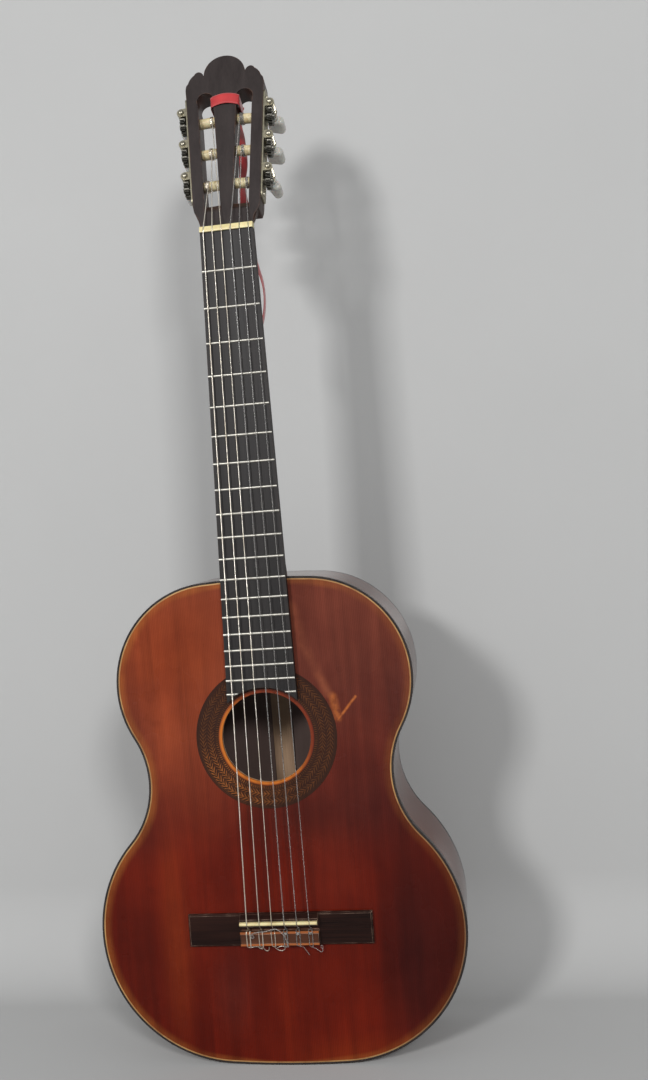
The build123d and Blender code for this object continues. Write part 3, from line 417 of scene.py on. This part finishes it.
def bridge_material():
    """Rosewood bridge: very dark, pale along its edges from wear and painted highlight, browner over the tie block."""
    paint = Paint("bridge_wood")
    paint.shader.inputs["Coat Weight"].default_value = 0.06
    paint.shader.inputs["Coat Roughness"].default_value = 0.15
    paint.shader.inputs["Specular IOR Level"].default_value = 0.1
    parts = paint.node("ShaderNodeSeparateXYZ", {0: paint.place})
    pores = paint.noise(1, paint.stretched((14, 900, 900)), 4, 0.65)
    streaks = paint.noise(1, paint.stretched((6, 120, 120)), 3, 0.55, 0.6)
    colour = paint.ramp(paint.sum("MULTIPLY", paint.sum("ADD", pores, streaks), 0.5),
                        [(0.35, (0.006, 0.0025, 0.002)), (0.68, (0.026, 0.009, 0.006))])
    across = paint.range(paint.sum("ABSOLUTE", parts.outputs["X"]), 0.0365, 0.0372, 1, 0)
    low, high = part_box("tie_block_inlays")
    along = paint.range(parts.outputs["Z"], high.z, high.z + 0.002, 1, 0)
    block = paint.sum("MULTIPLY", paint.sum("MULTIPLY", across, along), 0.8)
    colour = paint.mix(block, colour, paint.mix(streaks, (0.04, 0.014, 0.008), (0.13, 0.05, 0.026)))
    # Pale edges: partly wear, partly painted highlight along the bevels.
    rim = paint.node("ShaderNodeBevel", {"Radius": 0.0011}, samples=6).outputs[0]
    flat = paint.node("ShaderNodeNewGeometry").outputs["Normal"]
    facing = paint.node("ShaderNodeVectorMath", {0: rim, 1: flat}, operation="DOT_PRODUCT").outputs["Value"]
    worn = paint.sum("MULTIPLY", paint.range(facing, 0.995, 0.88), paint.range(paint.noise(90), 0.42, 0.6, 0.15, 0.9))
    colour = paint.mix(worn, colour, (0.34, 0.22, 0.16))
    paint.colour(colour)
    paint.rough(streaks, 0.25, 0.42)
    paint.bump(pores, 0.00005, edge=0.0006)
    return paint.material


def purfling_material():
    """Pale line inside the binding, with painted shade darkening it towards the lower treble side."""
    paint = Paint("purfling_cream")
    clouds = paint.noise(30, detail=5, roughness=0.6, distortion=0.8)
    colour = paint.ramp(clouds, [(0.3, (0.2, 0.085, 0.024)), (0.65, (0.4, 0.22, 0.075))])
    # Painted shade over the lower treble side of the line.
    painted_shade = paint.blob((0.17, FACE_Y, 0.1), (0.22, 1, 0.24))
    colour = paint.mix(paint.sum("MULTIPLY", painted_shade, 0.85), colour, (0.11, 0.045, 0.017))
    paint.colour(colour)
    paint.rough(clouds, 0.3, 0.45)
    paint.bump(paint.noise(360, detail=2), 0.00002)
    return paint.material


MATERIALS = {
    "soundboard": soundboard_material(),
    "rosette": rosette_material(),
    "sides": wood("side_wood", (0.055, 0.013, 0.007), (0.14, 0.034, 0.015), (10, 520, 10), gloss=0.7,
                  rough=(0.06, 0.14), bump=0.000004, inner=(0.07, 0.038, 0.028)),
    "back": wood("back_wood", (0.06, 0.014, 0.007), (0.16, 0.04, 0.017), (500, 500, 9), gloss=0.6,
                 rough=(0.12, 0.22), bump=0.000006, inner=(0.06, 0.035, 0.028)),
    "softwood": wood("inner_softwood", (0.5, 0.33, 0.18), (0.72, 0.54, 0.34), rough=(0.6, 0.75)),
    "blocks": wood("block_wood", (0.3, 0.17, 0.09), (0.45, 0.28, 0.16), rough=(0.6, 0.75)),
    "neck": wood("neck_wood", (0.022, 0.012, 0.009), (0.05, 0.023, 0.015), (600, 600, 9), edge=0.0006,
                 wear=(0.1, 0.045, 0.025), rough=(0.35, 0.5), gloss=0.35),
    "head": wood("headstock_wood", (0.015, 0.0105, 0.0098), (0.028, 0.02, 0.0185), (800, 800, 12),
                 edge=0.0008, wear=(0.11, 0.055, 0.035), rough=(0.4, 0.55), gloss=0.3),
    "fretboard": wood("fretboard_wood", (0.01, 0.009, 0.009), (0.024, 0.021, 0.0205), (1100, 1100, 14),
                      edge=0.0005, wear=(0.05, 0.035, 0.028), rough=(0.42, 0.6), gloss=0.22),
    "centre_strip": wood("centre_strip_wood", (0.2, 0.12, 0.07), (0.34, 0.22, 0.13), rough=(0.6, 0.75)),
    "bridge": bridge_material(),
    "strips": wood("tie_block_wood", (0.16, 0.04, 0.008), (0.4, 0.11, 0.018), (20, 900, 900), rough=(0.35, 0.5)),
    "binding": plastic("binding_dark", (0.02, 0.013, 0.01), (0.01, 0.007, 0.006), 60, (0.2, 0.35), 0.0006),
    "cream_line": purfling_material(),
    "bone": plastic("bone_cream", (0.68, 0.6, 0.32), (0.52, 0.42, 0.2), 90, (0.3, 0.5), 0.0005, 0.1),
    "roller": plastic("roller_cream", (0.6, 0.52, 0.32), (0.33, 0.25, 0.12), 160, (0.3, 0.5), 0.0004, 0.1),
    "pearl": plastic("pearl_button", (0.62, 0.6, 0.54), (0.38, 0.37, 0.35), 170, (0.15, 0.3), 0.0004, 0.15),
    "fret": metal("fret_nickel", (0.5, 0.48, 0.43), (0.3, 0.45)),
    "plate": metal("plate_nickel", (0.36, 0.33, 0.24), (0.35, 0.55), (0.05, 0.04, 0.03), 0.6, edge=0.0003),
    "gear": metal("gear_steel", (0.12, 0.115, 0.1), (0.3, 0.5), (0.02, 0.018, 0.015), 0.8),
    "worm": metal("worm_nickel", (0.42, 0.39, 0.31), (0.25, 0.4), (0.06, 0.05, 0.035), 0.75, edge=0.0003),
    "screw": metal("screw_steel", (0.4, 0.37, 0.3), (0.3, 0.5)),
}


def wound_string():
    """Silvered wire wound close round a core: fine ridges across the string."""
    paint = Paint("wound_string", Metallic=1.0)
    ridges = paint.node(
        "ShaderNodeTexWave", {"Vector": paint.place, "Scale": 900}, bands_direction="Z"
    ).outputs["Fac"]
    tarnish = paint.noise(60, detail=4)
    paint.colour(paint.mix(paint.range(tarnish, 0.4, 0.7), (0.88, 0.82, 0.72), (0.66, 0.58, 0.46)))
    paint.rough(tarnish, 0.25, 0.4)
    paint.bump(ridges, 0.00004)
    return paint.material


def nylon_string():
    """Clear nylon, a little cloudy."""
    paint = Paint("nylon_string", IOR=1.53)
    paint.shader.inputs["Transmission Weight"].default_value = 0.85
    clouds = paint.noise(90, detail=3)
    paint.colour(paint.mix(paint.range(clouds, 0.35, 0.7), (0.75, 0.73, 0.7), (0.5, 0.48, 0.46)))
    paint.rough(clouds, 0.18, 0.35)
    paint.bump(clouds, 0.00001)
    return paint.material


def ribbon_material():
    """Satin ribbon: fine weft lines across it and a softer sheen."""
    paint = Paint("ribbon_satin")
    paint.shader.inputs["Sheen Weight"].default_value = 0.4
    paint.shader.inputs["Sheen Roughness"].default_value = 0.4
    weave = paint.noise(1, paint.stretched((900, 900, 3500)), 2)
    folds = paint.noise(90, detail=3)
    paint.colour(paint.mix(paint.range(folds, 0.3, 0.7), (0.3, 0.01, 0.012), (0.45, 0.024, 0.025)))
    paint.rough(folds, 0.45, 0.65)
    paint.bump(weave, 0.00006)
    return paint.material


MATERIALS["wound"] = wound_string()
MATERIALS["nylon"] = nylon_string()
MATERIALS["ribbon"] = ribbon_material()
DRESS = {
    "soundboard": "soundboard", "rosette": "rosette", "top_purfling": "cream_line", "bindings": "binding",
    "sides": "sides", "back": "back", "end_block": "blocks", "neck_block": "blocks", "linings": "softwood",
    "soundboard_braces": "softwood", "back_braces": "softwood", "back_centre_strip": "centre_strip",
    "neck": "neck", "headstock_veneer": "head", "heel_cap": "neck", "fretboard": "fretboard", "frets": "fret",
    "nut": "bone", "bridge": "bridge", "saddle": "bone", "tie_block_inlays": "strips",
    "tuner_plates": "plate", "tuner_plate_screws": "screw", "ribbon": "ribbon",
}
for string in STRINGS:
    DRESS[f"string_{string}"] = DRESS[f"string_{string}_winding"] = "wound" if string in WOUND else "nylon"
    DRESS[f"string_{string}_worm"] = "worm"
    DRESS[f"string_{string}_button"] = "pearl"
    DRESS[f"string_{string}_gear"] = "gear"
    DRESS[f"string_{string}_roller"] = "roller"
for name, thing in frame["nodes"].items():
    thing.data.materials.clear()
    thing.data.materials.append(MATERIALS[DRESS[name]])


def wear(thing, look, body="guitar", slot=None):
    """Finish a new piece: its material and its body; the slot is not used."""
    thing.data.materials.clear()
    thing.data.materials.append(MATERIALS[look])
    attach(thing, body)
    return thing


def wire(name, points, radius, look, body="guitar", slot=None):
    """Round strand along a smooth line."""
    curve = bpy.data.curves.new(name, "CURVE")
    curve.dimensions = "3D"
    curve.bevel_depth = radius
    curve.bevel_resolution = 3
    curve.resolution_u = 8
    curve.use_fill_caps = True
    spline = curve.splines.new("NURBS")
    spline.points.add(len(points) - 1)
    for point, place in zip(spline.points, points):
        point.co = (*place, 1)
    spline.order_u = 3
    spline.use_endpoint_u = True
    thing = bpy.data.objects.new(name, curve)
    bpy.context.collection.objects.link(thing)
    return wear(thing, look, body, slot)


# ---- string windings: each string's own turns round its roller ----
TURNS = 4
STEPS = 14
ROLLER_RADIUS = 0.0048
TURN_PACKING = 0.82 * 1.02
for string in STRINGS:
    joint = JOINTS[f"tuner_{string}_spool_turn"]
    axis = Vector(joint["axis"]).normalized()
    centre = Vector(joint["pos_m"])
    low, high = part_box(f"string_{string}_winding")
    hand = 1 if string <= 3 else -1
    diameter = DIAMETERS[string]
    barrel = (ROLLER_RADIUS + diameter / 2) / math.cos(math.pi / STEPS)
    inner_x, outer_x = (low.x, high.x) if hand > 0 else (high.x, low.x)
    strand = frame["nodes"][f"string_{string}"].data
    top = max(vertex.co.z for vertex in strand.vertices)
    tip = [vertex.co for vertex in strand.vertices if vertex.co.z > top - diameter]
    tip = sum(tip, Vector()) / len(tip)
    start = centre + axis * ((inner_x - centre.x) / axis.x)
    spoke = tip - start
    spoke = (spoke - axis * spoke.dot(axis)).normalized()
    side = axis.cross(spoke)
    points = []
    for step in range(TURNS * STEPS + 1):
        angle = 2 * math.pi * step / STEPS
        drift = hand * diameter * (0.5 + TURN_PACKING * step / STEPS)
        points.append(start + axis * drift + (spoke * math.cos(angle) - side * math.sin(angle)) * barrel)
    coil = wire(f"string_{string}_turns", points, diameter / 2 * 0.98, DRESS[f"string_{string}"],
                f"tuner_{string}_spool", SLOT_OF[f"string_{string}"])
    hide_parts(f"string_{string}_winding")


# ---- string ends: each is hitched round the tie block, and its tail left long ----
MM = 0.001
TIE_FRONT, TIE_REAR, TIE_TOP, SPACING = 131.5, 118.5, 9.0, 11.9


def board(x, height, z):
    """A point given in millimetres: across, in front of the soundboard, and up."""
    return Vector((x * MM, FACE_Y - height * MM, z * MM))


# Tails: points from the rear of the tie block, as (across from the string, height, up from the rear).
TAILS = {
    6: [(-1.6, 7.6, -1.6), (1.5, 6.4, -2.2), (5, 5.2, -1.8), (8, 4.4, -2.4), (9, 3.4, -4.6), (11.5, 2.8, -5.4)],
    5: [(0.2, 7.0, -2.0), (1.0, 5.0, -3.6), (2.2, 3.4, -6.4), (4.2, 3.0, -7.6), (6.2, 3.6, -6.0), (6.4, 4.6, -3.0)],
    4: [(0.4, 7.0, -1.8), (1.2, 5.4, -4.2), (4, 4.2, -6.8), (8, 4.4, -6.6), (10.4, 5.4, -4.0), (8.6, 6.2, -1.4),
        (5.2, 6.2, -1.8), (2.6, 5.6, -3.6)],
    3: [(0.6, 9.2, -1.6), (1.6, 10.6, 2.0), (0.8, 12.4, 8.0), (-2.0, 14.0, 14.0), (-7.5, 14.6, 18.4),
        (-12.5, 14.2, 17.2), (-18, 13.8, 15.4), (-25, 13.2, 14.8), (-31, 12.4, 13.4), (-33.4, 11.4, 9.6),
        (-30.8, 11.2, 7.8), (-29.4, 11.8, 10.4), (-31.4, 12.6, 12.2)],
    2: [(2.4, 6.6, -1.8), (4.0, 5.6, -3.2), (5.6, 4.4, -6.4), (7.4, 3.2, -10.0), (8.6, 2.6, -12.2)],
    1: [(-1.2, 6.6, -2.2), (1.4, 5.6, -3.6), (5.4, 4.6, -6.6), (8.6, 3.8, -9.4), (10.2, 3.6, -7.2), (8.0, 4.2, -4.0),
        (8.6, 5.0, -1.6), (10.6, 4.8, -3.0), (9.8, 4.0, -6.0)],
}
for string in STRINGS:
    half = DIAMETERS[string] / 2 / MM
    x = (3.5 - string) * SPACING
    over = TIE_TOP + half + 0.05
    hitch = [
        (x + 1.9, over, TIE_FRONT - 2.2), (x + 1.8, over, TIE_FRONT + 0.4), (x + 1.3, 6.6, TIE_FRONT + 1.3),
        (x + 0.2, 4.3, TIE_FRONT + 1.6), (x - 1.2, 6.6, TIE_FRONT + 1.3), (x - 1.7, over, TIE_FRONT + 0.4),
        (x - 1.6, over + 0.1, TIE_FRONT - 2.4), (x - 1.4, over, TIE_REAR + 3), (x - 1.5, over, TIE_REAR - 0.2),
    ]
    tail = [(x + across, height, TIE_REAR + up) for across, height, up in TAILS[string]]
    look = DRESS[f"string_{string}"]
    wire(f"string_{string}_tie", [board(*point) for point in hitch + tail], half * MM * 0.94, look,
         slot=SLOT_OF[f"string_{string}"])
    if string <= 3:
        knot = []
        for step in range(25):
            angle = 2 * math.pi * step / 9
            knot.append((x + 0.1 + 1.5 * math.cos(angle), over + 0.3 + 0.9 * math.sin(angle) + 0.4,
                         TIE_FRONT - 0.2 - step * 0.085))
        wire(f"string_{string}_knot", [board(*point) for point in knot], half * MM * 0.9, look,
             slot=SLOT_OF[f"string_{string}"])


# ---- ribbon: a flat band round the rib between the slots, knotted behind, its loop hanging ----
def smooth_line(points, per_span):
    """Catmull-Rom line through points, each with its width direction."""
    line = []
    for index in range(len(points) - 1):
        before = points[max(index - 1, 0)]
        after = points[min(index + 2, len(points) - 1)]
        for step in range(per_span):
            t = step / per_span
            pair = []
            for a, b, c, d in zip(before, points[index], points[index + 1], after):
                pair.append(0.5 * (2 * b + (c - a) * t + (2 * a - 5 * b + 4 * c - d) * t * t
                                   + (3 * b - a - 3 * c + d) * t * t * t))
            line.append(pair)
    line.append(list(points[-1]))
    return line


def band(name, line, width, columns=6, crown=0.05, crumple=0.0):
    """Thin strip of ribbon along a line of (place, width direction), a little crowned across."""
    mesh = bmesh.new()
    rows = []
    for index, (place, across) in enumerate(line):
        ahead = line[min(index + 1, len(line) - 1)][0] - line[max(index - 1, 0)][0]
        across = (across - ahead * across.dot(ahead) / ahead.length_squared).normalized()
        out = ahead.cross(across).normalized()
        row = []
        for column in range(columns + 1):
            share = column / columns - 0.5
            lift = crown * (0.25 - share * share) + crumple * math.sin(index * 0.9 + column * 1.3)
            row.append(mesh.verts.new(place + across * share * width + out * lift * width))
        rows.append(row)
    for first, second in zip(rows, rows[1:]):
        for column in range(columns):
            face = mesh.faces.new((first[column], first[column + 1], second[column + 1], second[column]))
            face.smooth = True
    data = bpy.data.meshes.new(name)
    mesh.to_mesh(data)
    mesh.free()
    thing = bpy.data.objects.new(name, data)
    bpy.context.collection.objects.link(thing)
    solid = thing.modifiers.new("cloth", "SOLIDIFY")
    solid.thickness = 0.0003
    solid.offset = 0
    return thing


HEAD_LEAN = math.radians(15)
HEAD_FACE = Vector((0, -math.cos(HEAD_LEAN), math.sin(HEAD_LEAN)))
HEAD_UP = Vector((0, math.sin(HEAD_LEAN), math.cos(HEAD_LEAN)))
HEAD_SEAT = Vector((0, FACE_Y, 0.7955))


def on_head(x, s, out):
    """A point on the headstock, in millimetres: across, up its face from the nut, out of its face."""
    return HEAD_SEAT + Vector((x * MM, 0, 0)) + HEAD_UP * s * MM + HEAD_FACE * out * MM


def ribbon_line():
    """Once round the rib, out through the knot, down the loop and back up into the knot."""
    points = []
    half, front, rear, corner = 14.0, 2.75, -18.75, 1.6
    ring = [(4, rear), (-half + corner, rear), (-half, rear + corner), (-half, -8), (-half, front - 2.4),
            (-half + 2.2, front - 0.2), (-6, front + 0.5), (0, front + 0.8), (6, front + 0.5),
            (half - 2.2, front - 0.2), (half, front - 2.4), (half, -8), (half, rear + corner), (half - corner, rear)]
    for x, out in ring:
        arch = 1.3 - 2.6 * (x / half) ** 2
        points.append((on_head(x, 134.6 + arch, out), HEAD_UP))
    loop = [
        ((8.5, -56.5, 922), (0.3, -0.25, 0.9)), ((6.8, -58.5, 914), (0.5, 0.85, 0.1)),
        ((9.5, -59, 898), (0.35, 0.95, 0)), ((8.9, -59, 874), (0.6, 0.78, 0)), ((6.2, -58.8, 852), (0.35, 0.95, 0)),
        ((7, -58.5, 832), (0.65, 0.75, 0)), ((10, -58.5, 805), (0.6, 0.8, 0)), ((13, -58.5, 779), (0.3, 0.95, 0)),
        ((18.6, -58.6, 757), (0.1, 1, 0)), ((20.2, -58.8, 741), (0, 1, 0)), ((18, -59.4, 722), (0, 1, 0)),
        ((12, -60, 706), (0, 1, 0.1)), ((4, -60.4, 699), (0, 1, 0)), ((-3, -60.2, 705), (0, 1, -0.1)),
        ((-6.2, -59.8, 722), (0.1, 1, 0)), ((-6.6, -59.4, 757), (0.3, 0.95, 0)), ((-5.4, -59.2, 805), (0.5, 0.85, 0)),
        ((-2.6, -59.2, 852), (0.6, 0.8, 0)), ((1.5, -59.2, 892), (0.7, 0.7, 0)), ((4.5, -58, 914), (0.8, 0.55, 0.1)),
    ]
    for place, across in loop:
        points.append((board(*place), Vector(across).normalized()))
    flat = [(*place, *across) for place, across in points]
    return [(Vector(row[:3]), Vector(row[3:]).normalized()) for row in smooth_line(flat, 8)]


RIBBON_WIDTH = 0.011
KNOT_WIDTH = 0.0075
line = ribbon_line()
ribbon = band("ribbon_band", line, RIBBON_WIDTH)
wear(ribbon, "ribbon", slot=SLOT_OF["ribbon"])
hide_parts("ribbon")
knot_line = []
for step in range(40):
    angle = 2 * math.pi * step / 26
    swell = 4.3 + 0.4 * math.sin(step * 1.7)
    place = board(6.4 + swell * math.cos(angle), -57.6 + 0.7 * swell * math.sin(angle), 919 + 0.05 * step)
    knot_line.append((place, Vector((0.15 * math.sin(step), 0.1, 1)).normalized()))
knot = band("ribbon_knot", knot_line, KNOT_WIDTH, crumple=0.05)
wear(knot, "ribbon", slot=SLOT_OF["ribbon"])


# ---- room: pale floor and wall, soft light from the upper left ----
ROOM_REACH, WALL_Y, WALL_CURVE = 6.0, 0.17, 0.1
WALL_COLOUR = (0.41, 0.41, 0.405)
GUITAR_MIDDLE = (0, 0, 0.45)
WORLD_COLOUR, WORLD_STRENGTH = (0.9, 0.92, 0.95, 1), 0.38


def stage_material(name, colour):
    """Matt paint seen from its front only, so that the wall never hides the guitar's back."""
    paint = Paint(name)
    specks = paint.noise(3, detail=5)
    paint.colour(paint.mix(paint.range(specks, 0.3, 0.7), colour, [part * 0.97 for part in colour]))
    paint.rough(specks, 0.85, 0.95)
    behind = paint.node("ShaderNodeNewGeometry").outputs["Backfacing"]
    clear = paint.node("ShaderNodeBsdfTransparent").outputs[0]
    seen = paint.node("ShaderNodeMixShader", {0: behind, 1: paint.shader.outputs[0], 2: clear})
    paint.put(paint.tree.nodes["Material Output"].inputs["Surface"], seen.outputs[0])
    return paint.material


def stage_piece(name, mesh, material_name):
    data = bpy.data.meshes.new(name)
    mesh.to_mesh(data)
    mesh.free()
    thing = bpy.data.objects.new(name, data)
    bpy.context.collection.objects.link(thing)
    data.materials.append(stage_material(material_name, WALL_COLOUR))
    thing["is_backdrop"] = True


def backdrop():
    """Floor that curves up into a wall close behind the guitar, and more floor behind that wall."""
    floor_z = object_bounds()[0].z
    curve_y = WALL_Y - WALL_CURVE
    mesh = bmesh.new()
    profile = [(-ROOM_REACH, floor_z), (curve_y, floor_z)]
    steps = 16
    for step in range(1, steps + 1):
        angle = math.pi / 2 * step / steps
        profile.append((curve_y + WALL_CURVE * math.sin(angle), floor_z + WALL_CURVE * (1 - math.cos(angle))))
    profile.append((WALL_Y, ROOM_REACH))
    rows = [[mesh.verts.new((x, y, z)) for y, z in profile] for x in (-ROOM_REACH, ROOM_REACH)]
    for first in range(len(profile) - 1):
        face = mesh.faces.new((rows[0][first], rows[1][first], rows[1][first + 1], rows[0][first + 1]))
        face.smooth = True
    stage_piece("backdrop", mesh, "pale_wall")
    mesh = bmesh.new()
    corners = ((-ROOM_REACH, curve_y), (ROOM_REACH, curve_y), (ROOM_REACH, ROOM_REACH), (-ROOM_REACH, ROOM_REACH))
    mesh.faces.new([mesh.verts.new((x, y, floor_z)) for x, y in corners])
    stage_piece("rear_floor", mesh, "pale_floor")


def lamp(name, place, side, power):
    """A square soft lamp, aimed at the middle of the guitar."""
    data = bpy.data.lights.new(name, "AREA")
    data.shape = "RECTANGLE"
    data.size, data.size_y = side, side
    data.energy = power
    thing = bpy.data.objects.new(name, data)
    thing.location = place
    thing.rotation_mode = "QUATERNION"
    thing.rotation_quaternion = (Vector(GUITAR_MIDDLE) - Vector(place)).to_track_quat("-Z", "Y")
    bpy.context.collection.objects.link(thing)


backdrop()
lamp("key", (-1.05, -2.4, 1.45), 0.4, 46)
lamp("fill", (1.0, -2.5, 1.7), 0.5, 42)
lamp("rear", (0.4, 2.2, 2.2), 1.6, 30)
world = bpy.data.worlds.new("world")
bpy.context.scene.world = world
world.use_nodes = True
background = world.node_tree.nodes["Background"]
background.inputs["Color"].default_value = WORLD_COLOUR
background.inputs["Strength"].default_value = WORLD_STRENGTH
bpy.context.scene.view_settings.view_transform = "Standard"
